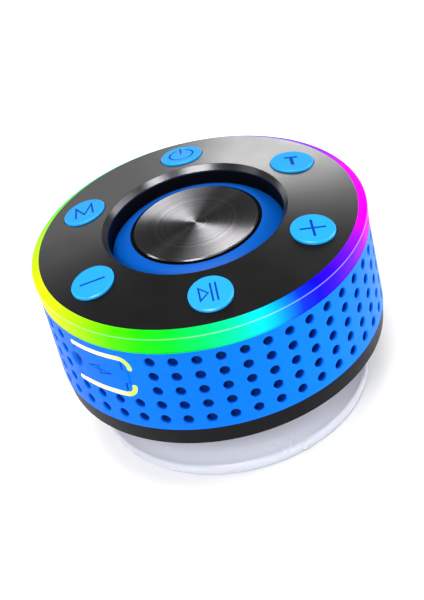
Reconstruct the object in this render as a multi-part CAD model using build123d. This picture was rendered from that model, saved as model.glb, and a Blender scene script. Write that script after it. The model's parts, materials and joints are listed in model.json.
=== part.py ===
from build123d import *
import math
import os

# Shower speaker on a suction cup. Millimetres, +Z up, origin at the bottom centre of the cup's lip.
# The power button is at +Y and the play button at -Y, so the legends read upright from -Y.

# ---- outside of the body -------------------------------------------------------------------------
BASE_Z = 18.8            # underside of the black base band
SLEEVE_Z = 24.3          # bottom of the blue grille sleeve
RING_Z = 49.4            # bottom of the light ring
SEAM_Z = 54.2            # widest line of the light ring
PANEL_Z = 55.5           # outer edge of the top panel
BASE_R = 44.0
BODY_R = 44.65
SEAM_R = 45.0
PANEL_R = 42.7
BEZEL_R = 24.8           # opening of the top panel
PANEL_SLOPE = 0.172      # rise of the panel towards the middle
PANEL_T = 1.6
SLEEVE_T = 2.0

# ---- grille holes --------------------------------------------------------------------------------
HOLE_R = 1.33
HOLE_COLUMNS = 46
HOLE_ROWS = 5
HOLE_PITCH_Z = 4.7
HOLE_LOW_Z = 27.7
HOLE_FLARE = 0.28

# ---- buttons -------------------------------------------------------------------------------------
BUTTON_R = 5.8
BUTTON_PITCH_R = 33.2
BUTTON_PROUD = 0.6
BUTTON_GAP = 0.2
BUTTON_FLANGE_R = 6.7
BUTTON_FLANGE_Z = 53.0
BUTTON_TRAVEL = 0.6
LEGEND_DEPTH = 0.25
BUTTONS = {"power": 90, "t": 30, "plus": -30, "play": -90, "minus": -150, "m": 150}

# ---- passive radiator ----------------------------------------------------------------------------
DISC_R = 16.7
DISC_TOP_Z = 56.77
DISC_T = 0.4
DISC_CHAMFER = 0.3
CARRIER_R = 17.65
CARRIER_Z = 55.95          # floor of the groove round the disc
WELL_R = 23.35
WELL_Z = 52.1            # where the surround meets the well wall
COLLAR_Z = 51.5

# ---- inner tub, deck and boards ------------------------------------------------------------------
TUB_R = 40.0
TUB_T = 1.5
TUB_Z = 29.5
TUB_FLOOR_T = 2.0
DECK_Z = 47.6
SHELL_IN_R = BODY_R - SLEEVE_T
BOARD_Z = 50.0           # underside of the key board
POST_R = 36.2
BOSS_R = 36.4
PILLAR_R = 33.0
LED_COUNT = 24

# ---- charging port -------------------------------------------------------------------------------
PORT_ANGLE = -134.4
PORT_Z = 40.9
FLAP_T = 1.6
FLAP_HALF_H = 5.1
FLAP_LEFT = -9.8
HINGE_U = 7.4
KNUCKLE_R = 0.8
STRIP_W = 1.3
DISH_U = -9.9
DISH_R = 3.6
DISH_DEEP = 1.0
USB_W = 8.94
USB_H = 3.26
USB_FRONT_R = 41.8
USB_BACK_R = 34.4

# ---- driver --------------------------------------------------------------------------------------
DRIVER_OPEN_R = 19.6
DRIVER_R = 22.5
COIL_R = 6.4

# ---- suction cup ---------------------------------------------------------------------------------
LIP_R = 37.6
STEM_R = 8.9
SOCKET_R = 9.0
LUG_R = 10.6
TRACK_R = 10.8

FLOOR = (Align.CENTER, Align.CENTER, Align.MIN)


# ---- small helpers -------------------------------------------------------------------------------
def rod(radius, low, high, x=0.0, y=0.0):
    """Upright cylinder between two heights."""
    return Pos(x, y, low) * Cylinder(radius, high - low, align=FLOOR)


def tube(outer, inner, low, high):
    """Upright tube between two heights."""
    return rod(outer, low, high) - rod(inner, low - 1, high + 1)


def at(angle, radius):
    """Plan position at an angle in degrees and a radius."""
    turn = math.radians(angle)
    return radius * math.cos(turn), radius * math.sin(turn)


def rods(radius, low, high, pitch_r, angles):
    """The same upright cylinder at several angles."""
    return [rod(radius, low, high, *at(angle, pitch_r)) for angle in angles]


def lathe(*points):
    """Solid turned about Z from a closed outline of (radius, height) points."""
    outline = Polyline(*[(r, 0, z) for r, z in points], close=True)
    return revolve(make_face(outline), Axis.Z)


def arc(start, middle, end):
    """Arc in the turning plane through three (radius, height) points."""
    return ThreePointArc(*[(r, 0, z) for r, z in (start, middle, end)])


def path(*points):
    """Straight run in the turning plane through (radius, height) points."""
    return Polyline(*[(r, 0, z) for r, z in points])


def lathe_edges(*edges):
    """Solid turned about Z from edges that close on themselves."""
    return revolve(make_face(edges), Axis.Z)


def many(solids):
    """Separate solids that share one node."""
    return Compound(children=list(solids))


def panel_height(radius):
    """Height of the top panel's upper face."""
    return PANEL_Z + PANEL_SLOPE * (PANEL_R - radius)


def radial_plane(angle, height, radius=0.0):
    """Plane facing outward: x runs round the body, y runs up."""
    turn = math.radians(angle)
    out = (math.cos(turn), math.sin(turn), 0)
    side = (-math.sin(turn), math.cos(turn), 0)
    return Plane(origin=(out[0] * radius, out[1] * radius, height), x_dir=side, z_dir=out)


PORT = radial_plane(PORT_ANGLE, PORT_Z)


def port_block(sketch, low_r, high_r):
    """Prism through the wall at the port, between two distances from the axis."""
    face = Plane(PORT.origin + PORT.z_dir * low_r, x_dir=PORT.x_dir, z_dir=PORT.z_dir) * sketch
    return extrude(face, high_r - low_r)


def port_shell(sketch, low_r, high_r):
    """Piece of the curved wall at the port, following the body's radius."""
    return port_block(sketch, low_r - 4, high_r + 4) & tube(high_r, low_r, PORT_Z - 12, PORT_Z + 12)


# ---- outer body ----------------------------------------------------------------------------------
def base_cover():
    """Black base: band, floor, spigot for the sleeve and bayonet socket for the cup."""
    body = lathe_edges(
        path((0, BASE_Z), (BASE_R - 0.5, BASE_Z)),
        arc((BASE_R - 0.5, BASE_Z), (BASE_R - 0.1, BASE_Z + 0.15), (BASE_R, BASE_Z + 0.5)),
        path(
            (BASE_R, BASE_Z + 0.5), (BODY_R, SLEEVE_Z), (SHELL_IN_R - 0.05, SLEEVE_Z),
            (SHELL_IN_R - 0.05, SLEEVE_Z + 1.9), (41.2, SLEEVE_Z + 1.9), (41.2, 20.8),
            (14.2, 20.8), (12.8, 26.6), (6.0, 28.4), (0, 28.8), (0, BASE_Z),
        ),
    )
    body -= rod(SOCKET_R, BASE_Z - 1, 26.0)
    body -= tube(TRACK_R, SOCKET_R - 0.5, 21.8, 23.9)
    for angle in (60, 180, 300):
        slot = Rot(0, 0, angle) * Pos(9.6, 0, 20.8) * Box(2.6, 6.6, 5.0)
        body -= slot & rod(TRACK_R, BASE_Z - 1, 23.0)
    for x, y in [at(angle, PILLAR_R) for angle in (45, 135, 225, 315)]:
        body -= rod(1.3, BASE_Z - 1, 22, x, y)
        body -= rod(2.4, BASE_Z - 1, BASE_Z + 1.2, x, y)
    return body


def grille_sleeve():
    """Blue sleeve with straight columns of round holes and the port window."""
    sleeve = tube(BODY_R, SHELL_IN_R, SLEEVE_Z, RING_Z)
    bore = Cylinder(HOLE_R, 4.0, align=FLOOR)
    flare = Pos(0, 0, 2.75) * Cone(HOLE_R, HOLE_R + HOLE_FLARE * 1.6, 0.45, align=FLOOR)
    cutter = bore + flare
    pitch = 360 / HOLE_COLUMNS
    cutters = []
    for column in range(HOLE_COLUMNS):
        rows = 2 if column in (0, 1, HOLE_COLUMNS - 2, HOLE_COLUMNS - 1) else HOLE_ROWS
        angle = PORT_ANGLE + (column + 0.5) * pitch
        for row in range(rows):
            height = HOLE_LOW_Z + row * HOLE_PITCH_Z
            cutters.append(radial_plane(angle, height, BODY_R - 3.0).location * cutter)
    sleeve -= cutters
    return sleeve - port_block(frame_outline(), 38, 48)


def grille_liner():
    """Acoustic mesh behind the holes."""
    liner = tube(SHELL_IN_R - 0.05, SHELL_IN_R - 0.3, SLEEVE_Z + 1.9, DECK_Z)
    return liner - port_block(frame_outline(), 38, 48)


def light_ring():
    """Frosted light guide under the edge of the top panel."""
    return lathe(
        (BODY_R, RING_Z), (SEAM_R, SEAM_Z), (PANEL_R, PANEL_Z), (PANEL_R, PANEL_Z - PANEL_T),
        (41.6, PANEL_Z - PANEL_T), (41.6, RING_Z),
    )


def led_strip():
    """Flexible circuit ring inside the light guide."""
    return tube(40.6, 40.2, RING_Z, PANEL_Z - 2.2)


def rgb_leds():
    """Side-firing lamps on the strip."""
    lamp = Box(0.8, 2.0, 2.0)
    return many([loc * lamp for loc in PolarLocations(41.0, LED_COUNT)]).moved(Location((0, 0, 51.4)))


def top_panel():
    """Coned black cover with six button holes and screw posts underneath."""
    inner = BEZEL_R
    under = PANEL_Z - PANEL_T
    panel = lathe(
        (inner, panel_height(inner)), (PANEL_R, PANEL_Z), (PANEL_R, under),
        (26.2, under + PANEL_SLOPE * (PANEL_R - 26.2)), (26.2, 54.9), (inner, 54.9),
    )
    posts = rods(2.0, BOARD_Z + 1.0, 55.4, POST_R, range(0, 360, 60))
    panel += posts
    panel -= rods(BUTTON_R + BUTTON_GAP, 50, 60, BUTTON_PITCH_R, BUTTONS.values())
    panel -= rods(0.8, 49, 54.6, POST_R, range(0, 360, 60))
    return panel


def bezel_trim():
    """Bright turned ring with a wide chamfer round the radiator."""
    top = panel_height(BEZEL_R)
    return lathe(
        (BEZEL_R, top), (BEZEL_R - 0.12, top), (BEZEL_R - 1.25, top - 1.35),
        (BEZEL_R - 1.25, 56.8), (BEZEL_R, 56.8),
    )


def radiator_well():
    """Black wall under the bezel, which also clamps the surround's edge."""
    return lathe(
        (BEZEL_R, 56.8), (BEZEL_R - 1.25, 56.8), (WELL_R, WELL_Z), (25.2, WELL_Z),
        (25.2, COLLAR_Z), (26.2, COLLAR_Z), (26.2, 54.9), (BEZEL_R, 54.9),
    )


# ---- buttons -------------------------------------------------------------------------------------
def legend(name):
    """Flat symbol for a button, upright and centred."""
    if name == "power":
        gap = Pos(0, 3.5) * Rectangle(2.2, 3.0)
        return (Circle(3.55) - Circle(3.05) - gap) + Pos(0, 2.4) * Rectangle(0.5, 3.6)
    if name == "t":
        return Pos(0, 2.0) * Rectangle(3.6, 0.95) + Rectangle(0.95, 4.9)
    if name == "plus":
        return Rectangle(6.8, 0.7) + Rectangle(0.7, 6.8)
    if name == "minus":
        return Rectangle(6.9, 0.7)
    if name == "play":
        tri = Polyline((-3.0, 2.7), (-3.0, -2.7), (-0.25, 0), close=True)
        outer = make_face(tri)
        bars = [Pos(x, 0) * Rectangle(0.5, 6.4) for x in (0.3, 1.6)]
        return (outer - offset(outer, -0.45)) + bars
    strokes = [(-2.5, -2.6), (-2.2, 2.6), (0, -1.9), (2.2, 2.6), (2.5, -2.6)]
    return trace(Polyline(*strokes), 0.5)


def button(name):
    """Cap with a tilted face, retaining flange, hollow underside and a nub for its switch."""
    angle = BUTTONS[name]
    x, y = at(angle, BUTTON_PITCH_R)
    tilt = math.atan(PANEL_SLOPE)
    flat = at(angle, math.sin(tilt))
    normal = Vector(flat[0], flat[1], math.cos(tilt))
    along = Vector(1, 0, 0) - normal * normal.X
    top = Plane(origin=(x, y, panel_height(BUTTON_PITCH_R) + BUTTON_PROUD), x_dir=along, z_dir=normal)
    cap = rod(BUTTON_R, BUTTON_FLANGE_Z, 62, x, y)
    cap = split(cap, bisect_by=top, keep=Keep.BOTTOM)
    rim = cap.edges().filter_by(GeomType.LINE, reverse=True).sort_by(Axis.Z)[-1]
    cap = chamfer(rim, 0.3)
    cap += rod(BUTTON_FLANGE_R, BUTTON_FLANGE_Z, BUTTON_FLANGE_Z + 0.9, x, y)
    cap -= rod(4.4, BUTTON_FLANGE_Z - 1, 55.4, x, y) - rod(1.3, BUTTON_FLANGE_Z - 1, 56, x, y)
    cut = Plane(top.origin - top.z_dir * LEGEND_DEPTH, x_dir=top.x_dir, z_dir=top.z_dir) * legend(name)
    return cap - extrude(cut, 2.0)


def key_mat():
    """Silicone sheet with a soft bellows under each button."""
    angles = list(BUTTONS.values())
    mat = tube(39.2, 27.6, BOARD_Z + 1.0, BOARD_Z + 1.5)
    mat -= rods(4.6, 50, 53, BUTTON_PITCH_R, angles)
    mat -= rods(2.2, 50, 53, POST_R, range(0, 360, 60))
    for x, y in [at(angle, BUTTON_PITCH_R) for angle in angles]:
        bellows = rod(6.3, BOARD_Z + 1.0, BUTTON_FLANGE_Z, x, y) - rod(5.7, 50, 54, x, y)
        foot = rod(5.7, BOARD_Z + 1.0, BOARD_Z + 1.5, x, y) - rod(4.6, 50, 54, x, y)
        mat += bellows + foot
    mat &= tube(39.9, 27.3, BOARD_Z, BUTTON_FLANGE_Z)
    return mat


def key_board():
    """Ring-shaped circuit board for the six switches."""
    return tube(39.4, 27.6, BOARD_Z, BOARD_Z + 1.0) - rods(1.0, 49, 52, POST_R, range(0, 360, 60))


def tact_switches():
    """Low tactile switches with round plungers."""
    base = Pos(0, 0, BOARD_Z + 1.0) * Box(4.5, 4.5, 1.0, align=FLOOR)
    plunger = rod(1.1, BOARD_Z + 1.9, BOARD_Z + 2.3)
    one = base + plunger
    spots = [Pos(*at(angle, BUTTON_PITCH_R), 0) * Rot(0, 0, angle) for angle in BUTTONS.values()]
    return many([spot * one for spot in spots])


def screw(x, y, head_z, tip_z, head_r=1.7, shank_r=0.8, head_h=1.0):
    """Self-tapping screw with a cross recess. The head is at head_z and the tip at tip_z."""
    up = 1 if head_z > tip_z else -1
    seat = head_z - up * head_h
    body = rod(head_r, min(head_z, seat), max(head_z, seat), x, y)
    body += rod(shank_r, min(seat, tip_z), max(seat, tip_z), x, y)
    for size in ((1.8, 0.45), (0.45, 1.8)):
        body -= Pos(x, y, head_z) * Box(size[0], size[1], 1.0)
    return body


def panel_screws():
    """Up through deck and key board into the panel's posts."""
    return many([screw(*at(a, POST_R), DECK_Z - 1.0, 54.2) for a in range(0, 360, 60)])


# ---- deck and tub --------------------------------------------------------------------------------
def deck():
    """Plate that closes the tub and carries the radiator, key board and light ring."""
    plate = lathe(
        (23.4, DECK_Z), (SHELL_IN_R - 0.05, DECK_Z), (SHELL_IN_R - 0.05, RING_Z),
        (26.2, RING_Z), (26.2, COLLAR_Z), (23.4, COLLAR_Z),
    )
    plate += tube(37.8, 34.6, RING_Z, BOARD_Z) + tube(28.6, 26.2, RING_Z, BOARD_Z)
    plate -= rods(1.0, 46, 51, POST_R, range(0, 360, 60))
    for x, y in [at(angle, BOSS_R) for angle in range(30, 360, 60)]:
        plate -= rod(1.0, 46, 51, x, y) + rod(1.9, RING_Z - 1.0, 51, x, y)
    return plate


def deck_screws():
    """Down through the deck into the tub's bosses."""
    return many([screw(*at(a, BOSS_R), RING_Z, 41.5) for a in range(30, 360, 60)])


def deck_seal():
    """Rubber ring in the tub's rim."""
    return tube(39.6, 38.9, DECK_Z - 0.5, DECK_Z)


def inner_tub():
    """Sealed chamber with driver opening, bosses, standoffs and pillars to the base."""
    floor_top = TUB_Z + TUB_FLOOR_T
    tub = rod(TUB_R, TUB_Z, DECK_Z) - rod(TUB_R - TUB_T, floor_top, DECK_Z + 1)
    tub -= rod(DRIVER_OPEN_R, TUB_Z - 1, floor_top + 1)
    bosses = rods(2.4, 40.2, DECK_Z, BOSS_R, range(30, 360, 60))
    tub += [boss & rod(TUB_R - 0.2, 30, 50) for boss in bosses]
    tub += rods(2.0, floor_top - 0.5, PORT_Z - USB_H / 2 - 1.0, 34.5, standoff_angles()[:2])
    tub += rods(2.0, floor_top - 0.5, PORT_Z - USB_H / 2 - 1.0, 25.6, standoff_angles()[2:])
    tub += rods(2.8, 20.8, TUB_Z + 0.5, PILLAR_R, (45, 135, 225, 315))
    tub -= rods(0.8, 41.0, DECK_Z + 1, BOSS_R, range(30, 360, 60))
    tub -= rods(0.8, 33.0, 39, 34.5, standoff_angles()[:2])
    tub -= rods(0.8, 33.0, 39, 25.6, standoff_angles()[2:])
    tub -= rods(0.8, 20, 28.5, PILLAR_R, (45, 135, 225, 315))
    tub -= tube(39.6, 38.9, DECK_Z - 0.5, DECK_Z + 1)
    tub -= rods(0.6, 29.8, 32, 21.2, (0, 90, 180, 270))
    return tub - port_block(neck_outline(), 37, 41)


def base_screws():
    """Up through the base into the tub's pillars."""
    spots = [at(angle, PILLAR_R) for angle in (45, 135, 225, 315)]
    return many([screw(x, y, BASE_Z + 0.2, 27.5, 2.1) for x, y in spots])


def standoff_angles():
    return (PORT_ANGLE - 33, PORT_ANGLE + 33, PORT_ANGLE)


# ---- charging port -------------------------------------------------------------------------------
def frame_outline():
    return Pos(-0.8, 0) * RectangleRounded(23.2, 13.4, 2.5)


def neck_outline():
    return RectangleRounded(12.0, 6.4, 2.0)


def usb_outline():
    return RectangleRounded(USB_W, USB_H, 1.6)


def flap_outline(gap=0.0):
    """Cover plate: rounded on the free end, square at the hinge line."""
    right = HINGE_U + 2.0
    width = right - FLAP_LEFT + 2 * gap
    return Pos((right + FLAP_LEFT) / 2, 0) * RectangleRounded(width, 2 * (FLAP_HALF_H + gap), 2.2)


def strip_outline(upper):
    """Half of the bright outline round the flap: a straight run that turns down at the hinge end."""
    ring_shape = RectangleRounded(25.5, 11.8 + STRIP_W, 3.65) - RectangleRounded(
        25.5 - 2 * STRIP_W, 11.8 - STRIP_W, 3.65 - STRIP_W
    )
    side = 1 if upper else -1
    left = -9.9 if upper else -10.4
    width = 20.5
    keep = Pos(left + width / 2, side * (2.35 + 3.0)) * RectangleRounded(width, 6.0, 0.01)
    half = (Pos(-3.0, 0) * ring_shape) & keep
    ends = half.vertices().sort_by(lambda v: v.X)[:2] + half.vertices().sort_by(lambda v: abs(v.Y))[:2]
    return fillet(ends, STRIP_W * 0.42)


def hinge_plane():
    """Plane across the hinge: x runs round the body, y runs outward, z up."""
    centre_r = BODY_R - KNUCKLE_R
    swing = math.degrees(math.asin(HINGE_U / centre_r))
    turn = math.radians(PORT_ANGLE + swing)
    side = (-math.sin(turn), math.cos(turn), 0)
    x, y = at(PORT_ANGLE + swing, centre_r)
    return Plane(origin=(x, y, PORT_Z), x_dir=side, z_dir=(0, 0, 1))


HINGE = hinge_plane()
HINGE_OUT = Vector(HINGE.origin.X, HINGE.origin.Y, 0).normalized()
HINGE_SIDE = 1 if (HINGE.y_dir.dot(HINGE_OUT)) > 0 else -1


def hinge_rod(radius, low, high):
    """Upright cylinder on the hinge axis, heights measured from the port's centre."""
    return rod(radius, PORT_Z + low, PORT_Z + high, HINGE.origin.X, HINGE.origin.Y)


def hinge_box(left, right, low, high):
    """Block across the hinge, x measured round the body from the axis."""
    block = Pos((left + right) / 2, 0, (low + high) / 2) * Box(right - left, 12, high - low)
    return HINGE.location * block


def finger_dish():
    """Ball that scoops a fingernail dish across the flap's free end and the frame beside it."""
    turn = PORT_ANGLE + math.degrees(DISH_U / BODY_R)
    centre = (*at(turn, BODY_R + DISH_R - DISH_DEEP), PORT_Z)
    return Pos(*centre) * Sphere(DISH_R)


def port_frame():
    """Blue frame in the sleeve: seat for the flap, grooves for the light pipes, ears, USB neck."""
    frame = port_shell(frame_outline(), 41.0, BODY_R)
    frame += port_block(neck_outline(), 38.5, 41.6) & rod(41.6, 30, 50)
    seat = port_shell(flap_outline(0.15), BODY_R - FLAP_T - 0.15, BODY_R + 1)
    ears = hinge_box(-KNUCKLE_R - 0.15, 6, -6, 6) - hinge_box(-5, KNUCKLE_R + 0.15, -2.2, 2.2)
    ears -= hinge_box(-5, 0, -6, 6) - hinge_rod(KNUCKLE_R + 0.15, -6, 6)
    frame -= seat - ears
    frame -= hinge_rod(KNUCKLE_R + 0.15, -2.2, 2.2)
    frame -= hinge_rod(0.4, -3.4, 3.4)
    for upper in (True, False):
        frame -= port_shell(strip_outline(upper), BODY_R - 1.0, BODY_R + 1)
    frame -= port_block(RectangleRounded(10.4, 5.2, 1.8), USB_FRONT_R - 0.2, 48)
    frame -= port_block(usb_outline(), 37, 43)
    return frame - finger_dish()


def port_flap():
    """Cover over the charging socket, with a sealing plug, knuckle and debossed charge mark."""
    flap = port_shell(flap_outline(), BODY_R - FLAP_T, BODY_R)
    flap -= hinge_box(-1.02, 8, -8, 8)
    bridge = port_shell(Pos(HINGE_U - 1, 0) * Rectangle(4, 4.2), BODY_R - FLAP_T, BODY_R)
    flap += bridge & hinge_box(-2.0, 0, -2.1, 2.1)
    flap += hinge_rod(KNUCKLE_R, -2.1, 2.1)
    flap += port_shell(RectangleRounded(9.8, 4.6, 1.6), BODY_R - FLAP_T - 0.75, BODY_R - FLAP_T + 0.2)
    flap -= hinge_rod(0.46, -3, 3)
    flap -= finger_dish()
    upper = [(-3.6, 0.4), (0.1, 1.3), (-0.3, 0.25)]
    bolt = Polyline(*upper, *[(-x, -y) for x, y in upper], close=True)
    mark = Pos(-1.0, 0.2) * trace(bolt, 0.25)
    return flap - port_shell(mark, BODY_R - 0.2, BODY_R + 1)


def flap_pin():
    """Steel hinge pin held in the frame's ears."""
    return hinge_rod(0.4, -3.4, 3.4)


def port_light(upper):
    """Light pipe beside the flap, a hair proud of the sleeve."""
    return port_shell(strip_outline(upper), BODY_R - 1.0, BODY_R + 0.08)


def usb_shell():
    """Steel shell of the charging socket."""
    shell = port_block(usb_outline(), USB_BACK_R, USB_FRONT_R)
    return shell - port_block(RectangleRounded(USB_W - 0.6, USB_H - 0.6, 1.3), USB_BACK_R + 0.5, 44)


def usb_tongue():
    """Insulating tongue inside the socket."""
    return port_block(Rectangle(6.7, 0.7), USB_BACK_R + 0.5, USB_FRONT_R - 0.6)


# ---- electronics ---------------------------------------------------------------------------------
def main_board():
    """Board sector beside the driver, under the charging socket."""
    top = PORT_Z - USB_H / 2
    board = tube(37.9, 18.0, top - 1.0, top)
    wedge = Polyline((0, 0), at(PORT_ANGLE - 38, 60), at(PORT_ANGLE, 75), at(PORT_ANGLE + 38, 60), close=True)
    board &= Pos(0, 0, top - 2) * extrude(make_face(wedge), 4)
    board -= rods(0.9, 36, 42, 34.5, standoff_angles()[:2])
    board -= rods(0.9, 36, 42, 25.6, standoff_angles()[2:])
    return board


def on_board(side, radius, length, width, height):
    """Block standing on the main board: side is the offset round, radius the distance out."""
    face = Rectangle(length, width)
    top = PORT_Z - USB_H / 2
    base = Plane(
        origin=PORT.z_dir * radius + PORT.x_dir * side + Vector(0, 0, top), x_dir=PORT.x_dir, z_dir=(0, 0, 1)
    )
    return extrude(base * face, height)


def board_chips():
    """Amplifier, controller, charger, choke and capacitors."""
    blocks = [(9.5, 29.5, 5.0, 5.0, 0.9), (-3.5, 21.5, 4.0, 4.0, 0.9), (6.2, 22.0, 3.0, 3.0, 0.8)]
    blocks += [(13.5, 24.5, 3.0, 3.0, 2.4), (12.0, 33.6, 2.0, 1.2, 1.0), (15.6, 30.4, 1.2, 2.0, 1.0)]
    return many([on_board(*block) for block in blocks])


def radio_module():
    """Wireless module with a metal can and a bare aerial end."""
    can = on_board(-9.5, 27.0, 8.0, 7.5, 1.8)
    return can + on_board(-14.6, 27.0, 2.2, 7.5, 0.5)


def board_screws():
    """Into the tub's standoffs."""
    top = PORT_Z - USB_H / 2
    spots = [at(angle, 34.5) for angle in standoff_angles()[:2]] + [at(PORT_ANGLE, 25.6)]
    return many([screw(x, y, top + 0.9, 34.0, 1.5, 0.8, 0.9) for x, y in spots])


def battery_place():
    x, y = at(PORT_ANGLE + 180, 28.2)
    return Pos(x, y, 0) * Rot(0, 0, PORT_ANGLE + 180)


def battery_cell():
    """Pouch cell standing beside the driver."""
    cell = Pos(0, 0, 32.1) * Box(7.8, 35.5, 13.4, align=FLOOR)
    cell = fillet(cell.edges().filter_by(Axis.Z), 1.5)
    return battery_place() * cell


def battery_pad():
    """Foam pad under the cell."""
    return battery_place() * Pos(0, 0, 31.5) * Box(7.4, 34.0, 0.6, align=FLOOR)


# ---- driver, facing down -------------------------------------------------------------------------
def driver_gasket():
    return tube(22.3, 20.7, 31.5, 31.9) - rods(0.8, 31, 33, 21.2, (0, 90, 180, 270))


def driver_basket():
    """Pressed frame with four windows."""
    basket = lathe(
        (DRIVER_R, 31.9), (20.6, 31.9), (20.6, 32.3), (DRIVER_OPEN_R, 32.3), (DRIVER_OPEN_R, 33.1),
        (15.2, 37.4), (15.2, 37.8), (13.6, 37.8), (13.6, 38.6), (8.2, 38.6), (8.2, 39.4),
        (15.4, 39.4), (16.2, 38.4), (20.2, 33.7), (20.2, 33.1), (DRIVER_R, 33.1),
    )
    for angle in range(45, 360, 90):
        basket -= Rot(0, 0, angle) * Pos(18.4, 0, 35.4) * Box(9, 13, 2.6)
    return basket - rods(0.7, 31, 34, 21.2, (0, 90, 180, 270))


def driver_screws():
    """Through the basket's flange into the tub floor."""
    spots = [at(angle, 21.2) for angle in (0, 90, 180, 270)]
    return many([screw(x, y, 33.9, 30.0, 0.95, 0.6, 0.8) for x, y in spots])


def front_plate():
    return tube(12.4, 6.95, 39.4, 40.9)


def driver_magnet():
    return tube(13.4, 8.6, 40.9, 44.3)


def driver_yoke():
    """Back plate and pole piece."""
    return rod(12.6, 44.3, 45.9) + rod(6.0, 39.4, 44.5)


def voice_coil():
    """Former with its winding."""
    return tube(COIL_R, COIL_R - 0.15, 36.6, 41.5) + tube(COIL_R + 0.3, COIL_R - 0.1, 39.3, 41.3)


def driver_cone():
    return lathe((COIL_R, 37.35), (COIL_R, 36.95), (15.6, 32.5), (16.4, 32.5), (16.4, 32.9), (15.8, 32.9))


def dust_cap():
    """Shallow dome closing the coil, facing down."""
    rise, radius = 1.6, 13.6
    centre = 36.6 - rise + radius
    shell = Pos(0, 0, centre) * (Sphere(radius) - Sphere(radius - 0.3))
    return shell & rod(COIL_R, 34.0, 36.6)


def driver_surround():
    """Half-roll rubber edge of the driver."""
    return lathe_edges(
        path((20.6, 32.3), (20.6, 31.9), (19.3, 31.9)), arc((19.3, 31.9), (17.7, 30.5), (16.1, 32.1)),
        path((16.1, 32.1), (15.9, 32.5), (16.4, 32.5)), arc((16.4, 32.5), (17.7, 30.95), (19.1, 32.3)),
        path((19.1, 32.3), (20.6, 32.3)),
    )


def spider():
    """Corrugated suspension round the coil."""
    low, high, inner, step = 37.45, 37.75, COIL_R, 1.2
    upper, lower = [(inner, high)], [(inner, low)]
    for wave in range(6):
        r = inner + step * (wave + 0.5)
        lift = 0.3 if wave % 2 else -0.3
        upper.append((r, high + lift - 0.05))
        lower.append((r, low + lift - 0.05))
    upper += [(13.6, high), (14.8, high)]
    lower += [(13.6, low), (14.8, low)]
    return lathe(*upper, *reversed(lower))


# ---- passive radiator, facing up -----------------------------------------------------------------
def radiator_surround():
    """Rubber roll between the carrier and the well."""
    return lathe_edges(
        path((CARRIER_R, 54.9), (CARRIER_R, 56.3)),
        arc((CARRIER_R, 56.3), (20.75, 54.85), (WELL_R - 0.1, 52.7)),
        path(
            (WELL_R - 0.1, 52.7), (WELL_R - 0.1, WELL_Z), (25.2, WELL_Z), (25.2, COLLAR_Z),
            (22.5, COLLAR_Z), (22.5, 52.35),
        ),
        arc((22.5, 52.35), (20.25, 54.2), (18.25, 55.4)),
        path((18.25, 55.4), (18.25, 54.9), (CARRIER_R, 54.9)),
    )


def radiator_disc():
    """Spun metal disc with a bright chamfer."""
    bottom = DISC_TOP_Z - DISC_T
    rim = DISC_TOP_Z - DISC_CHAMFER
    return lathe(
        (0, DISC_TOP_Z), (DISC_R - DISC_CHAMFER, DISC_TOP_Z), (DISC_R, rim), (DISC_R, bottom), (0, bottom)
    )


def radiator_carrier():
    """Black ring and plate that hold the disc."""
    seat = DISC_TOP_Z - DISC_T
    return lathe(
        (0, seat), (DISC_R - 0.05, seat), (DISC_R - 0.05, CARRIER_Z), (CARRIER_R, CARRIER_Z),
        (CARRIER_R, 54.9), (15.0, 54.9), (14.0, 54.3), (0, 54.3),
    )


def radiator_weight():
    """Steel tuning mass under the carrier."""
    return rod(8.5, 49.6, 54.3)


# ---- suction cup ---------------------------------------------------------------------------------
def cup_insert():
    """Bayonet stem moulded into the cup."""
    stem = rod(STEM_R, 14.0, 25.4) + rod(11.5, 13.2, 15.0)
    lug_ring = tube(LUG_R, STEM_R - 0.5, 22.0, 23.7)
    for angle in (0, 120, 240):
        stem += (Rot(0, 0, angle) * Pos(9.6, 0, 22.85) * Box(2.6, 5.6, 2.0)) & lug_ring
    return stem - tube(STEM_R + 1, STEM_R - 0.75, 19.6, 20.7)


def cup_seal():
    """Rubber ring in the stem's groove."""
    return tube(STEM_R + 0.02, STEM_R - 0.75, 19.6, 20.7)


def suction_cup():
    """Clear flexible cup with a rounded lip."""
    cup = lathe_edges(
        path((33.4, 0), (35.5, 0)),
        arc((35.5, 0), (37.0, 1.1), (LIP_R, 3.0)),
        arc((LIP_R, 3.0), (37.4, 3.7), (36.8, 4.2)),
        arc((36.8, 4.2), (26.0, 11.5), (13.4, 18.2)),
        path((13.4, 18.2), (13.0, 18.6), (0, 18.6), (0, 9.6)),
        arc((0, 9.6), (17.5, 7.6), (33.4, 0)),
    )
    return cup - (rod(STEM_R, 14.0, 19) + rod(11.5, 13.2, 15.0))


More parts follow.
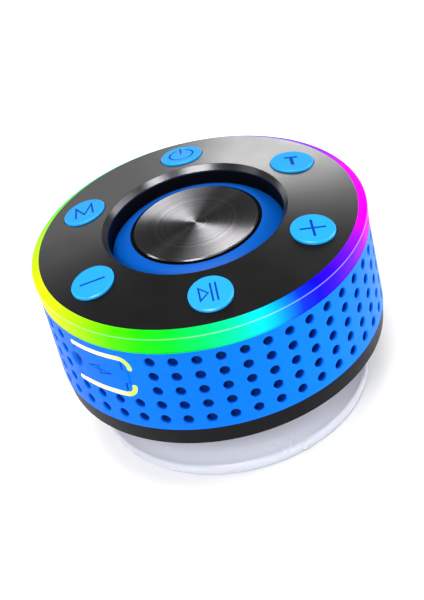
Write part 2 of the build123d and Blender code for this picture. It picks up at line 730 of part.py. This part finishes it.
# ---- write every node ----------------------------------------------------------------------------
NODES = {
    "base_cover": base_cover, "grille_sleeve": grille_sleeve, "grille_liner": grille_liner,
    "light_ring": light_ring, "led_strip": led_strip, "rgb_leds": rgb_leds,
    "top_panel": top_panel, "bezel_trim": bezel_trim, "radiator_well": radiator_well,
    "key_mat": key_mat, "key_board": key_board, "tact_switches": tact_switches,
    "panel_screws": panel_screws, "deck": deck, "deck_screws": deck_screws, "deck_seal": deck_seal,
    "inner_tub": inner_tub, "base_screws": base_screws, "port_frame": port_frame,
    "port_flap": port_flap, "flap_pin": flap_pin, "usb_shell": usb_shell, "usb_tongue": usb_tongue,
    "main_board": main_board, "board_chips": board_chips, "radio_module": radio_module,
    "board_screws": board_screws, "battery_cell": battery_cell, "battery_pad": battery_pad,
    "driver_gasket": driver_gasket, "driver_basket": driver_basket, "driver_screws": driver_screws,
    "front_plate": front_plate, "driver_magnet": driver_magnet, "driver_yoke": driver_yoke,
    "voice_coil": voice_coil, "driver_cone": driver_cone, "dust_cap": dust_cap,
    "driver_surround": driver_surround, "spider": spider, "radiator_surround": radiator_surround,
    "radiator_disc": radiator_disc, "radiator_carrier": radiator_carrier,
    "radiator_weight": radiator_weight, "cup_insert": cup_insert, "cup_seal": cup_seal,
    "suction_cup": suction_cup,
}

os.makedirs("parts", exist_ok=True)
for node, make in NODES.items():
    export_step(make(), f"parts/{node}.step")
export_step(port_light(True), "parts/port_light_upper.step")
export_step(port_light(False), "parts/port_light_lower.step")
for name in BUTTONS:
    export_step(button(name), f"parts/button_{name}.step")
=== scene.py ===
"""Shower speaker: the finish of every piece, the soft pieces, the floor, the light and the camera.

Lengths are metres in the object's own frame: the origin is under the middle of the suction cup,
+Z is up and the power button is towards +Y. MM turns a maker's millimetre into metres.
"""
import json
import math

import bmesh
import bpy
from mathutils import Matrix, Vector


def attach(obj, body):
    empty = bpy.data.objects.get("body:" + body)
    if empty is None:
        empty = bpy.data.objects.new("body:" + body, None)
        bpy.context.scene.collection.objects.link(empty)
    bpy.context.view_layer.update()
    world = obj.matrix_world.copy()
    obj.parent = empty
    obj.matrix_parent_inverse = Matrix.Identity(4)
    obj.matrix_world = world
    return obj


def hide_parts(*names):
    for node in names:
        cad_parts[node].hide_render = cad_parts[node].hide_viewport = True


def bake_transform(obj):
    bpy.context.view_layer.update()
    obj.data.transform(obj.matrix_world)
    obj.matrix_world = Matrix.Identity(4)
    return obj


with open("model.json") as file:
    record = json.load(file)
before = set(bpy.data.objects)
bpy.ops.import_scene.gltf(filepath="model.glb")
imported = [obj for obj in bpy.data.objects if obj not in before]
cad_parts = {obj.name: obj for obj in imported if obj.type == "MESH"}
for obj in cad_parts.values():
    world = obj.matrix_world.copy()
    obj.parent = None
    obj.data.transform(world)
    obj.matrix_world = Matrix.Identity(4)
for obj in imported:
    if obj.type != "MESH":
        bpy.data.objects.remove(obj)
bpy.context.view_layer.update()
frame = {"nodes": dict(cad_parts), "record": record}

MM = 0.001
DEGREE = math.radians(1)
NODES = frame["nodes"]

# The camera's place in metres, its turn in degrees, and its lens and sensor in mm.
CAMERA_PLACE = (0.008415, -0.365772, 0.298987)
CAMERA_TURN = (52.892, 11.650, -7.222)
CAMERA_LENS = 100.535
CAMERA_SENSOR = 36.0
NEAREST_SEEN, FARTHEST_SEEN = 0.01, 20.0
FRONT_ANGLE = -88.54      # the side of the speaker that faces the camera, degrees about +Z

# Dimensions of the moulded parts that the finishes follow, mm, with angles in degrees about +Z.
BODY_R = 44.65                # the blue sleeve's outer skin
HOLE_SHADE_R = 43.75          # the depth in its holes at which the painted shade is at its darkest
RING_SEAM_Z = 54.2            # the line round the middle of the light ring
RING_LOW_Z = (49.4, 50.6)     # the ring's lower edge, where its light fades
PORT_ANGLE = -134.4
PORT_Z = 40.9
MARK_FLOOR_R = (44.2, 44.25)  # what lies deeper than this is not the charge mark's floor
MARK_OFF_MIDDLE = -1.3        # from the port's angle to the middle of the mark, degrees
MARK_HALF_WIDTH = (7.0, 7.2)  # degrees
MARK_HALF_HEIGHT = (3.6, 3.7)
STRIP_BEND = (5.0, 10.5)      # degrees from the port's angle to the light pipes' hinge end, where their painted highlight turns yellow-green
BUTTON_COUNT = 6
BUTTON_PITCH_R = 33.2
BUTTON_FACE_Z = 57.734        # the middle of a cap's face
LEGEND_R = (4.6, 4.8)         # round the middle of a cap, the room that a legend has
LEGEND_DEPTH = (0.08, 0.14)
PANEL_SLOPE = 0.172           # the fall of the panel and of the caps' faces outwards, per mm

FLOOR_HALF = 1.2              # m
WALL_WHITE = 0.95             # the backdrop's level behind the floor

# The Principled shader's sockets that a finish may set besides its colour, roughness and metal.
SOCKETS = {
    "specular": "Specular IOR Level", "ior": "IOR", "transmission": "Transmission Weight",
    "anisotropic": "Anisotropic", "grain_turn": "Anisotropic Rotation",
}


def shade(red, green, blue):
    """A display colour, 0 to 255 a channel, as linear light with full alpha."""
    linear = []
    for channel in (red, green, blue):
        value = channel / 255
        linear.append(value / 12.92 if value <= 0.04045 else ((value + 0.055) / 1.055) ** 2.4)
    return (*linear, 1.0)


def tinted(colour, share):
    """That share of a linear colour, held to full at most."""
    return (*[min(1.0, channel * share) for channel in colour[:3]], 1.0)


def fill_ramp(band, stops):
    """Sets a colour ramp's stops, each a position and a colour, in rising order."""
    for element, (position, colour) in zip(band.elements, (stops[0], stops[-1])):
        element.position, element.color = position, colour
    for position, colour in stops[1:-1]:
        band.elements.new(position).color = colour


class Finish:
    """A surface finish: constants sit on the shader, patterns come from the piece's own place."""

    def __init__(self, name, colour, roughness, metallic=0.0, **constants):
        self.material = bpy.data.materials.new(name)
        self.material.use_nodes = True
        self.tree = self.material.node_tree
        self.shader = self.tree.nodes["Principled BSDF"]
        self.colour = colour
        self.set("Base Color", colour)
        self.set("Roughness", roughness)
        self.set("Metallic", metallic)
        for key, value in constants.items():
            self.set(SOCKETS[key], value)
        self.place = self.node("TexCoord").outputs["Object"]

    def set(self, socket, value):
        """A constant, or a pattern, on one of the shader's sockets."""
        if isinstance(value, bpy.types.NodeSocket):
            self.tree.links.new(value, self.shader.inputs[socket])
        else:
            self.shader.inputs[socket].default_value = value

    def node(self, kind, inputs=(), **settings):
        """A shader node of that kind, with its inputs set or linked by name or number."""
        made = self.tree.nodes.new("ShaderNode" + kind)
        for key, value in settings.items():
            setattr(made, key, value)
        for socket, value in dict(inputs).items():
            if isinstance(value, bpy.types.NodeSocket):
                self.tree.links.new(value, made.inputs[socket])
            else:
                made.inputs[socket].default_value = value
        return made

    def maths(self, operation, first, second=0.0):
        return self.node("Math", {0: first, 1: second}, operation=operation).outputs[0]

    def axes(self):
        """The x, y and z of the place, in metres."""
        parts = self.node("SeparateXYZ", {0: self.place}).outputs
        return parts[0], parts[1], parts[2]

    def distance(self, x, y):
        squares = self.maths("ADD", self.maths("MULTIPLY", x, x), self.maths("MULTIPLY", y, y))
        return self.maths("SQRT", squares)

    def radius(self):
        """The distance from the axis, in metres."""
        x, y, _ = self.axes()
        return self.distance(x, y)

    def turn(self):
        """The angle about +Z, in radians from +X."""
        x, y, _ = self.axes()
        return self.maths("ARCTAN2", y, x)

    def noise(self, scale, detail=2.0, place=None, roughness=0.5):
        inputs = {"Vector": place or self.place, "Scale": scale, "Detail": detail,
                  "Roughness": roughness}
        return self.node("TexNoise", inputs).outputs["Fac"]

    def spread(self, value, start, stop, low, high, smooth=False):
        """value's run from start to stop, carried over to low to high and held outside it."""
        inputs = {0: value, 1: start, 2: stop, 3: low, 4: high}
        kind = "SMOOTHSTEP" if smooth else "LINEAR"
        return self.node("MapRange", inputs, clamp=True, interpolation_type=kind).outputs[0]

    def past(self, value, edge, unit):
        """0 before the edge and 1 after it; an edge is where it starts and stops, in unit."""
        return self.spread(value, edge[0] * unit, edge[1] * unit, 0.0, 1.0)

    def within(self, value, edge, unit):
        """1 before the edge and 0 after it."""
        return self.spread(value, edge[0] * unit, edge[1] * unit, 1.0, 0.0)

    def blend(self, share, first, second):
        """first where share is 0 and second where it is 1; each is a colour or a pattern."""
        return self.node("Mix", {0: share, 6: first, 7: second}, data_type="RGBA").outputs[2]

    def ramp(self, value, stops):
        made = self.node("ValToRGB", {0: value})
        fill_ramp(made.color_ramp, stops)
        return made.outputs["Color"]

    def shades(self, share):
        """The finish's own colour, darker and lighter by that share."""
        return tinted(self.colour, 1 - share), tinted(self.colour, 1 + share)

    def mottle(self, scale, share):
        """The base colour, a little darker and lighter over patches of 1/scale metres."""
        self.skin = self.blend(self.noise(scale), *self.shades(share))
        self.set("Base Color", self.skin)

    def bump(self, height, depth, strength):
        """Relief from a pattern, that deep in metres where it is at its strongest."""
        inputs = {"Height": height, "Distance": depth, "Strength": strength}
        self.set("Normal", self.node("Bump", inputs).outputs["Normal"])

    def polish(self, scale, low, high, detail=3.0):
        """Roughness that wanders from low to high."""
        self.set("Roughness", self.spread(self.noise(scale, detail), 0.3, 0.7, low, high))


def satin_plastic(name, colour, roughness, grain=4200, **constants):
    """A spark-textured moulding: fine even grain, slight shade and gloss variation."""
    made = Finish(name, colour, roughness, **constants)
    made.mottle(60, 0.05)
    made.polish(900, roughness - 0.04, roughness + 0.05)
    made.bump(made.noise(grain, 3.0), 0.012 * MM, 0.6)
    return made


def shell_plastic(name, colour, deep, **constants):
    """The blue moulding, with painted shade: its colour darkens down the holes, below the outer
    skin.
    """
    made = satin_plastic(name, colour, 0.36, **constants)
    # painted shade: the hole walls below the outer skin take the darker blue
    painted_shade = made.within(made.radius(), (HOLE_SHADE_R, BODY_R - 0.12), MM)
    made.set("Base Color", made.blend(painted_shade, made.skin, deep))
    return made


def satin_panel(name, colour):
    """The top's smooth satin lacquer: a barely uneven gloss."""
    made = Finish(name, colour, 0.33, specular=0.32)
    made.mottle(60, 0.06)
    made.polish(120, 0.31, 0.35)
    return made


def turned_metal(name, colour, roughness, pitch, anisotropic, tone):
    """Metal cut on a lathe: rings about the axis that differ a little in tone and roughness."""
    made = Finish(name, colour, roughness, 1.0, anisotropic=anisotropic, grain_turn=0.25)
    ring = made.node("CombineXYZ", {0: made.radius()}).outputs[0]
    fine = made.noise(1 / (pitch * MM), 4.0, ring, 0.7)
    coarse = made.noise(0.18 / (pitch * MM), 2.0, ring)
    both = made.maths("ADD", made.maths("MULTIPLY", fine, 0.65),
                      made.maths("MULTIPLY", coarse, 0.35))
    share = made.spread(both, 0.3, 0.7, 0.0, 1.0)
    made.set("Base Color", made.blend(share, *made.shades(tone)))
    made.set("Roughness", made.spread(fine, 0.25, 0.75, roughness - 0.07, roughness + 0.09))
    made.bump(fine, 0.008 * MM, 0.5)
    return made


def sheet_metal(name, colour, roughness, grain=1500):
    """Rolled or plated metal with a fine drawn grain."""
    made = Finish(name, colour, roughness, 1.0)
    drawn = made.node("Mapping", {0: made.place, 3: (1.0, 0.06, 1.0)}).outputs[0]
    streak = made.noise(grain, 3.0, drawn)
    made.set("Roughness", made.spread(streak, 0.3, 0.7, roughness - 0.08, roughness + 0.1))
    made.mottle(140, 0.08)
    made.bump(streak, 0.006 * MM, 0.4)
    return made


def woven(name, colour, pitch, **constants):
    """Cloth or mesh: crossed threads at that pitch in mm."""
    made = Finish(name, colour, 0.85, **constants)
    _, _, z = made.axes()
    around = made.maths("MULTIPLY", made.turn(), BODY_R * MM)
    waves = []
    for along in (around, z):
        phase = made.maths("MULTIPLY", along, 2 * math.pi / (pitch * MM))
        waves.append(made.maths("SINE", phase))
    weave = made.maths("MULTIPLY", waves[0], waves[1])
    share = made.spread(weave, -1.0, 1.0, 0.0, 1.0)
    made.set("Base Color", made.blend(share, tinted(colour, 0.45), colour))
    made.bump(share, 0.03 * MM, 0.8)
    return made


def soft_rubber(name, colour, roughness, **constants):
    """Moulded rubber: matt bloom in patches and a fine skin."""
    made = Finish(name, colour, roughness, **constants)
    made.mottle(110, 0.07)
    made.polish(500, roughness - 0.06, roughness + 0.08)
    made.bump(made.noise(3000, 3.0), 0.01 * MM, 0.5)
    return made


def circuit_board(name, colour):
    """Solder mask over copper runs: the runs show as a lighter green grid of broken lines."""
    made = Finish(name, colour, 0.32)
    cells = {"Vector": made.place, "Scale": 620.0, "Randomness": 0.35}
    edge = made.node("TexVoronoi", cells, feature="DISTANCE_TO_EDGE")
    runs = made.spread(edge.outputs["Distance"], 0.03, 0.06, 1.0, 0.0)
    light = (*[min(1.0, c * 1.9 + 0.01) for c in colour[:3]], 1.0)
    made.set("Base Color", made.blend(runs, colour, light))
    made.bump(runs, 0.02 * MM, 0.6)
    made.polish(800, 0.26, 0.4)
    return made


def button_caps(name, colour, legend):
    """The six caps share one finish. The legends are cut into the face, and their floors hold a
    darker blue, found by how far a point lies under the face of its own cap."""
    made = Finish(name, colour, 0.3, specular=0.35)
    _, _, z = made.axes()
    sector = 2 * math.pi / BUTTON_COUNT
    wrapped = made.maths("FLOORED_MODULO", made.turn(), sector)
    beside = made.maths("SUBTRACT", wrapped, sector / 2)
    r = made.radius()
    out = made.maths("SUBTRACT", made.maths("MULTIPLY", r, made.maths("COSINE", beside)),
                     BUTTON_PITCH_R * MM)
    side = made.maths("MULTIPLY", r, made.maths("SINE", beside))
    face = made.maths("SUBTRACT", BUTTON_FACE_Z * MM, made.maths("MULTIPLY", out, PANEL_SLOPE))
    under = made.maths("SUBTRACT", face, z)
    middle = made.within(made.distance(out, side), LEGEND_R, MM)
    cut = made.past(under, LEGEND_DEPTH, MM)
    paint = made.maths("MULTIPLY", cut, middle)
    plain = made.blend(made.noise(90), tinted(colour, 0.93), colour)
    made.set("Base Color", made.blend(paint, plain, legend))
    made.polish(300, 0.27, 0.33)
    made.bump(made.noise(3800, 2.0), 0.005 * MM, 0.25)
    return made


def port_rubber(name, colour, mark, deep):
    """The flap's soft rubber: a darker blue on the floor of its charge mark, and painted shade, a
    deep blue, down the dish for a fingernail."""
    made = Finish(name, colour, 0.38, specular=0.04)
    _, _, z = made.axes()
    r = made.radius()
    floor = made.within(r, (BODY_R - 0.14, BODY_R - 0.08), MM)
    outer = made.past(r, MARK_FLOOR_R, MM)
    level = made.maths("ABSOLUTE", made.maths("SUBTRACT", z, PORT_Z * MM))
    inside = made.within(level, MARK_HALF_HEIGHT, MM)
    off = made.maths("SUBTRACT", made.turn(), math.radians(PORT_ANGLE + MARK_OFF_MIDDLE))
    across = made.within(made.maths("ABSOLUTE", off), MARK_HALF_WIDTH, DEGREE)
    cut = made.maths("MULTIPLY", made.maths("MULTIPLY", floor, outer),
                     made.maths("MULTIPLY", inside, across))
    plain = made.blend(made.noise(90), tinted(colour, 0.95), colour)
    # painted shade: darker blue below the outer skin, down the fingernail dish and on the flap's
    # inner side
    plain = made.blend(made.within(r, (HOLE_SHADE_R, BODY_R - 0.22), MM), plain, deep)
    made.set("Base Color", made.blend(cut, plain, mark))
    made.polish(600, 0.34, 0.44)
    made.bump(made.noise(3600, 2.0), 0.01 * MM, 0.5)
    return made


# The ring's display colours by the angle from its front, in degrees anticlockwise from above.
RAINBOW = [
    (-180, (40, 215, 200)), (-155, (35, 225, 140)), (-128, (90, 245, 60)), (-104, (190, 250, 20)),
    (-80, (232, 244, 20)), (-66, (222, 248, 25)), (-56, (190, 252, 20)), (-47, (150, 255, 10)),
    (-38, (90, 255, 0)), (-28, (35, 250, 5)), (-18, (5, 242, 40)), (-9, (0, 240, 100)),
    (0, (0, 252, 150)), (7, (0, 252, 205)), (12, (0, 238, 245)), (17, (0, 195, 255)),
    (22, (5, 130, 255)), (27, (5, 50, 255)), (34, (10, 0, 255)), (42, (60, 0, 255)),
    (52, (115, 15, 250)), (61, (175, 15, 245)), (70, (250, 0, 255)), (98, (255, 0, 250)),
    (118, (165, 25, 240)), (142, (95, 50, 240)), (163, (70, 130, 230)), (180, (40, 215, 200)),
]


def lit_ring(name):
    """The frosted light guide: coloured light that changes round the ring, with a painted
    highlight, whiter, on its seam.
    """
    made = Finish(name, shade(3, 3, 4), 0.5, specular=0.02)
    part = made.maths("SUBTRACT", made.turn(), math.radians(FRONT_ANGLE - 180))
    part = made.maths("FRACT", made.maths("DIVIDE", part, 2 * math.pi))
    stops = [((angle + 180) / 360, shade(*colour)) for angle, colour in RAINBOW]
    glow = made.ramp(part, stops)
    _, _, z = made.axes()
    off = made.maths("ABSOLUTE", made.maths("SUBTRACT", z, RING_SEAM_Z * MM))
    # painted highlight: the glow turns whiter along the seam line
    seam = made.spread(off, 0.02 * MM, 0.14 * MM, 0.3, 0.0, smooth=True)
    made.set("Emission Color", made.blend(seam, glow, (1.0, 1.0, 1.0, 1.0)))
    low = made.spread(z, RING_LOW_Z[0] * MM, RING_LOW_Z[1] * MM, 0.85, 1.25, smooth=True)
    cloud = made.spread(made.noise(260, 2.0), 0.3, 0.7, 0.94, 1.06)
    made.set("Emission Strength", made.maths("MULTIPLY", low, cloud))
    made.bump(made.noise(2600, 2.0), 0.008 * MM, 0.4)
    return made


def painted_highlight_strip(name):
    """The port's light pipes glow as painted highlights of the flap's raised edges: warm white
    along their run, yellow-green round the hinge end.
    """
    made = Finish(name, shade(30, 30, 20), 0.3, specular=0.3)
    off = made.maths("SUBTRACT", made.turn(), math.radians(PORT_ANGLE))
    bend = made.spread(off, STRIP_BEND[0] * DEGREE, STRIP_BEND[1] * DEGREE, 0.0, 1.0, smooth=True)
    # painted highlight colours: warm white along the flap's edges, yellow-green at the hinge end
    warm = made.blend(bend, shade(255, 252, 190), shade(205, 245, 70))
    made.set("Emission Color", warm)
    made.set("Emission Strength", made.spread(made.noise(400, 2.0), 0.3, 0.7, 1.05, 1.35))
    made.bump(made.noise(2600, 2.0), 0.008 * MM, 0.4)
    return made


def clear_soft_plastic(name):
    """The suction cup's clear vinyl: a faint violet grey, a little cloudy, with a flowing skin."""
    made = Finish(name, shade(234, 237, 250), 0.2, ior=1.42, transmission=0.35)
    made.mottle(45, 0.04)
    made.polish(160, 0.14, 0.28)
    made.bump(made.noise(120, 2.0), 0.08 * MM, 0.5)
    return made


# One finish for each material slot of the record.
SHELL_BLUE = shade(0, 102, 228)
# The dark blue is painted shade, laid down the sleeve's holes and the flap's fingernail dish.
PAINTED_SHADE_BLUE = shade(5, 50, 136)
finishes = {
    "black_case": satin_plastic("black case", shade(7, 7, 8), 0.42, specular=0.07),
    "blue_shell": shell_plastic("blue shell", SHELL_BLUE, PAINTED_SHADE_BLUE, specular=0.04),
    "tub_blue": satin_plastic("tub blue", shade(26, 60, 140), 0.45),
    "silicone_grey": soft_rubber("grey silicone", shade(150, 154, 160), 0.5),
    "seal_rubber": soft_rubber("seal rubber", shade(38, 38, 38), 0.6),
    "blue_rubber": port_rubber("flap rubber", SHELL_BLUE, shade(8, 36, 110), PAINTED_SHADE_BLUE),
    "surround_blue": soft_rubber("surround rubber", shade(2, 89, 188), 0.36, specular=0.16),
    "black_panel": satin_panel("black panel", shade(6, 6, 7)),
    "light_guide": lit_ring("lit ring"),
    # the port's light pipes glow with painted highlights of the flap's edges
    "port_light": painted_highlight_strip("painted highlight strip"),
    "clear_cup": clear_soft_plastic("clear soft plastic"),
    "button_blue": button_caps("button blue", shade(38, 168, 250), shade(12, 62, 175)),
    "liner_cloth": woven("liner cloth", shade(14, 56, 130), 0.35, specular=0.2),
    "spider_cloth": woven("spider cloth", shade(196, 160, 84), 0.6),
    "foam_grey": soft_rubber("grey foam", shade(140, 140, 142), 0.9),
    "cone_paper": soft_rubber("pressed paper", shade(52, 52, 54), 0.85),
    "bezel_metal": turned_metal("bezel metal", shade(96, 96, 98), 0.3, 0.12, 0.75, 0.12),
    "spun_metal": turned_metal("spun metal", shade(106, 105, 107), 0.29, 0.34, 0.94, 0.5),
    "plate_steel": sheet_metal("plate steel", shade(170, 172, 176), 0.38),
    "screw_steel": sheet_metal("screw steel", shade(190, 191, 195), 0.3, 2600),
    "switch_metal": sheet_metal("switch metal", shade(195, 197, 200), 0.28),
    "can_metal": sheet_metal("shield can", shade(205, 206, 208), 0.3),
    "pouch_foil": sheet_metal("pouch foil", shade(196, 200, 205), 0.4, 600),
    "magnet_nickel": sheet_metal("magnet nickel", shade(205, 198, 184), 0.16),
    "coil_copper": turned_metal("copper winding", shade(196, 116, 70), 0.35, 0.3, 0.5, 0.3),
    "basket_steel": satin_plastic("basket paint", shade(40, 40, 42), 0.4),
    "board_green": circuit_board("board green", shade(18, 92, 52)),
    "flex_circuit": circuit_board("flexible circuit", shade(210, 208, 196)),
    "chip_black": satin_plastic("chip black", shade(34, 34, 35), 0.5, 6000),
    "lamp_lens": satin_plastic("lamp lens", shade(240, 238, 226), 0.2, transmission=0.3),
}


def slots_of_nodes(record):
    """Node name to slot, wherever the record keeps its list of subparts."""
    found = {}

    def look(value):
        if isinstance(value, dict):
            if "node" in value and "material_slot" in value:
                found[value["node"]] = value["material_slot"]
            for inner in value.values():
                look(inner)
        elif isinstance(value, list):
            for inner in value:
                look(inner)
    look(record)
    return found


node_slots = slots_of_nodes(frame["record"])
for name, piece in NODES.items():
    piece.data.materials.clear()
    piece.data.materials.append(finishes[node_slots[name]].material)


def turned_piece(name, profile, steps, finish):
    """A round piece: its half section, millimetres (r, z), is spun about +Z and rounded. A section
    that starts and ends on the axis is left open there; any other is closed on itself. Two points
    close together hold a corner sharp."""
    shape = bmesh.new()
    corners = [shape.verts.new((r * MM, 0.0, z * MM)) for r, z in profile]
    on_axis = profile[0][0] == 0 and profile[-1][0] == 0
    ring = corners if on_axis else corners + corners[:1]
    edges = [shape.edges.new(pair) for pair in zip(ring, ring[1:])]
    bmesh.ops.spin(shape, geom=corners + edges, cent=(0, 0, 0), axis=(0, 0, 1), dvec=(0, 0, 0),
                   angle=2 * math.pi, steps=steps, use_merge=True)
    bmesh.ops.remove_doubles(shape, verts=shape.verts[:], dist=0.001 * MM)
    bmesh.ops.recalc_face_normals(shape, faces=shape.faces[:])
    rough = bpy.data.meshes.new(name + " section")
    shape.to_mesh(rough)
    shape.free()
    piece = bpy.data.objects.new(name, rough)
    bpy.context.scene.collection.objects.link(piece)
    rounded = piece.modifiers.new("rounded", "SUBSURF")
    rounded.levels = rounded.render_levels = 2
    bpy.context.view_layer.update()
    ready = piece.evaluated_get(bpy.context.evaluated_depsgraph_get())
    mesh = bpy.data.meshes.new_from_object(ready)
    piece.modifiers.clear()
    piece.data = mesh
    mesh.name = name
    bpy.data.meshes.remove(rough)
    mesh.shade_smooth()
    mesh.materials.clear()
    mesh.materials.append(finish.material)
    return piece


def radiator_roll(finish):
    """The blue rubber roll between the radiator's carrier and the well, baked in place."""
    section = [
        (17.66, 56.1), (17.66, 56.28), (17.75, 56.33), (19.3, 55.8), (20.8, 54.92), (22.2, 53.78),
        (23.1, 52.85), (23.24, 52.6), (23.24, 52.15), (23.32, 52.09), (25.1, 52.09), (25.18, 52.0),
        (25.18, 51.6), (25.1, 51.52), (22.6, 51.52), (22.52, 51.6), (22.45, 52.35), (21.5, 53.4),
        (20.2, 54.3), (18.3, 55.35), (18.22, 55.25), (18.22, 55.0), (18.15, 54.94), (17.72, 54.94),
        (17.66, 55.0),
    ]
    piece = turned_piece("surround_roll", section, 60, finish)
    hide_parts("radiator_surround")
    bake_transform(piece)


def vinyl_cup(finish):
    """The clear suction cup: a bell with a rolled lip, three sealing ribs under it and the seat of
    the bayonet stem."""
    section = [
        (0, 13.2), (11.4, 13.2), (11.5, 13.3), (11.5, 14.9), (11.4, 15.0), (9.05, 15.0),
        (8.95, 15.1), (8.95, 18.45), (9.05, 18.55), (12.9, 18.58), (13.5, 18.3),
        (16.5, 17.5), (20.3, 15.7), (24.0, 13.1), (27.5, 10.2), (31.0, 7.6), (34.0, 5.7),
        (36.4, 4.55), (36.9, 4.5), (37.45, 4.05), (37.62, 3.2), (37.45, 2.1), (36.9, 0.95),
        (35.9, 0.05), (35.4, 0.0), (33.5, 0.0), (33.2, 0.25), (32.5, 0.75), (32.1, 0.7),
        (31.6, 1.25), (31.0, 1.75), (30.5, 1.7), (30.0, 2.3), (29.3, 2.85), (28.8, 2.8),
        (28.2, 3.4), (25.5, 5.0), (21.5, 6.75), (17.0, 7.85), (10.0, 9.1), (4.0, 9.6), (0, 9.6),
    ]
    piece = turned_piece("vinyl_cup", section, 64, finish)
    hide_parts("suction_cup")
    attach(piece, "cup")


# The middle of the speaker and the middle of its top face, where the lamps point.
MIDDLE = (0.0, 0.0, 0.04)
TOP = (0.0, 0.0, 0.057)

# The lamps: name, place, aim, width and height in metres, power in watts, and the node that is the
# only thing a lamp lights, or None where it lights everything. "floor" is the floor.
LAMPS = [
    ("overhead softbox", (0.0, -0.1, 1.3), MIDDLE, 1.0, 0.8, 10.0, None),
    ("key softbox", (-0.25, -0.75, 0.7), MIDDLE, 0.5, 0.4, 9.0, None),
    ("right softbox", (0.85, -0.05, 0.3), MIDDLE, 0.7, 0.35, 4.5, None),
    ("left softbox", (-0.85, -0.1, 0.3), MIDDLE, 0.4, 0.4, 1.0, None),
    ("floor softbox", (0.0, 0.2, 1.6), MIDDLE, 2.0, 2.0, 25.0, "floor"),
    ("panel key", (0.17, 0.94, 0.34), TOP, 0.3, 0.22, 2.4, "top_panel"),
    ("panel wash", (0.0, 0.9, 0.48), TOP, 0.8, 0.35, 1.9, "top_panel"),
    ("disc softbox", (0.22, 0.50, 0.88), TOP, 0.45, 0.35, 9.5, "radiator_disc"),
    ("disc rim softbox", (-0.84, 0.15, 0.57), TOP, 0.25, 0.25, 2.0, "radiator_disc"),
    ("shell side softbox", (0.8, -0.1, 0.12), MIDDLE, 0.3, 0.3, 5.0, "grille_sleeve"),
    ("bezel softbox", (0.48, -0.55, 0.74), TOP, 0.3, 0.3, 4.0, "bezel_trim"),
    ("bezel back softbox", (-0.64, 0.77, 0.03), TOP, 0.4, 0.2, 1.5, "bezel_trim"),
]

# The room's brightness by height, from 0 at eye level and below to 1 straight up.
ROOM_LEVELS = [(0.0, 0.6), (0.15, 0.45), (0.35, 0.2), (0.6, 0.1), (1.0, 0.1)]


def softbox(name, place, aim, width, height, power, only):
    """A soft area lamp at place, turned to face aim. Where only is an object, it lights nothing
    else."""
    lamp = bpy.data.lights.new(name, "AREA")
    lamp.shape = "RECTANGLE"
    lamp.size, lamp.size_y = width, height
    lamp.energy = power
    stand = bpy.data.objects.new(name, lamp)
    stand.location = place
    stand.rotation_euler = (Vector(aim) - Vector(place)).to_track_quat("-Z", "Y").to_euler()
    bpy.context.scene.collection.objects.link(stand)
    if only:
        lit = bpy.data.collections.new(name + " lights")
        lit.objects.link(only)
        stand.light_linking.receiver_collection = lit


def paper_floor():
    """A wide square of white paper under the speaker."""
    sheet = bpy.data.meshes.new("floor")
    shape = bmesh.new()
    bmesh.ops.create_grid(shape, x_segments=1, y_segments=1, size=FLOOR_HALF)
    shape.to_mesh(sheet)
    shape.free()
    floor = bpy.data.objects.new("floor", sheet)
    bpy.context.scene.collection.objects.link(floor)
    paper = Finish("paper floor", shade(240, 240, 241), 0.7)
    paper.mottle(8, 0.01)
    sheet.materials.append(paper.material)
    return floor


def studio_room():
    """A room that is bright at eye level and dim overhead, behind a plain white backdrop."""
    world = bpy.data.worlds.new("studio room")
    bpy.context.scene.world = world
    world.use_nodes = True
    tree = world.node_tree
    place = tree.nodes.new("ShaderNodeTexCoord")
    parts = tree.nodes.new("ShaderNodeSeparateXYZ")
    band = tree.nodes.new("ShaderNodeValToRGB")
    seen = tree.nodes.new("ShaderNodeLightPath")
    wall = tree.nodes.new("ShaderNodeMixRGB")
    wall.inputs[2].default_value = (WALL_WHITE, WALL_WHITE, WALL_WHITE, 1.0)
    stops = [(position, (level, level, level, 1.0)) for position, level in ROOM_LEVELS]
    fill_ramp(band.color_ramp, stops)
    tree.links.new(place.outputs["Generated"], parts.inputs[0])
    tree.links.new(parts.outputs[2], band.inputs[0])
    tree.links.new(seen.outputs["Is Camera Ray"], wall.inputs[0])
    tree.links.new(band.outputs[0], wall.inputs[1])
    tree.links.new(wall.outputs[0], tree.nodes["Background"].inputs["Color"])


def studio():
    """The floor, the room and the lamps. The panel, the disc, the bezel, the sleeve and the floor
    have lamps that light nothing else."""
    floor = paper_floor()
    studio_room()
    things = {None: None, "floor": floor, **NODES}
    for *lamp, only in LAMPS:
        softbox(*lamp, things[only])


def camera():
    lens = bpy.data.cameras.new("camera")
    lens.lens = CAMERA_LENS
    lens.sensor_width = CAMERA_SENSOR
    lens.clip_start, lens.clip_end = NEAREST_SEEN, FARTHEST_SEEN
    view = bpy.data.objects.new("camera", lens)
    view.location = CAMERA_PLACE
    view.rotation_euler = [math.radians(angle) for angle in CAMERA_TURN]
    bpy.context.scene.collection.objects.link(view)
    bpy.context.scene.camera = view


radiator_roll(finishes["surround_blue"])
vinyl_cup(finishes["clear_cup"])
studio()
camera()
bpy.context.scene.view_settings.view_transform = "Standard"
